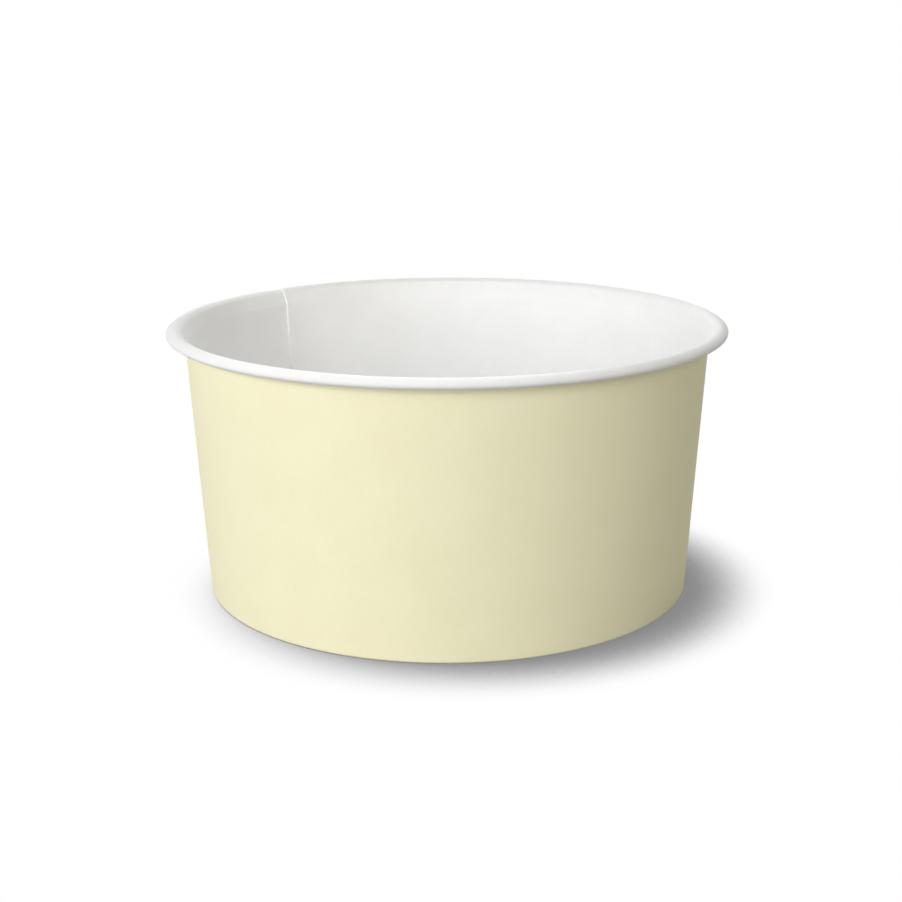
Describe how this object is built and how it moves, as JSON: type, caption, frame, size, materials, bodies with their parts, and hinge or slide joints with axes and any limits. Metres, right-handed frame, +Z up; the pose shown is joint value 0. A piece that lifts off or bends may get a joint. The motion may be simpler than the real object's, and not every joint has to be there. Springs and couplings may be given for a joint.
{
  "type": "paper tub",
  "caption": "Round paper tub for a small serving of food: a tapered wall with a lapped side seam, a rolled rim, and a base disc sealed into a folded foot.",
  "frame": {"origin": "centre of the foot, on the surface that the tub stands on", "axes": "+Z up along the tub's axis, -Y towards the front and +X to the right of the front view; the side seam is at the back left"},
  "size_m": [0.084, 0.084, 0.0405],
  "materials": {
    "wall_board": "coated board, cream outside and white inside, satin",
    "base_board": "coated board, white, satin"
  },
  "bodies": {
    "root": {"side_wall": "wall_board", "base_disc": "base_board"}
  },
  "joints": []
}
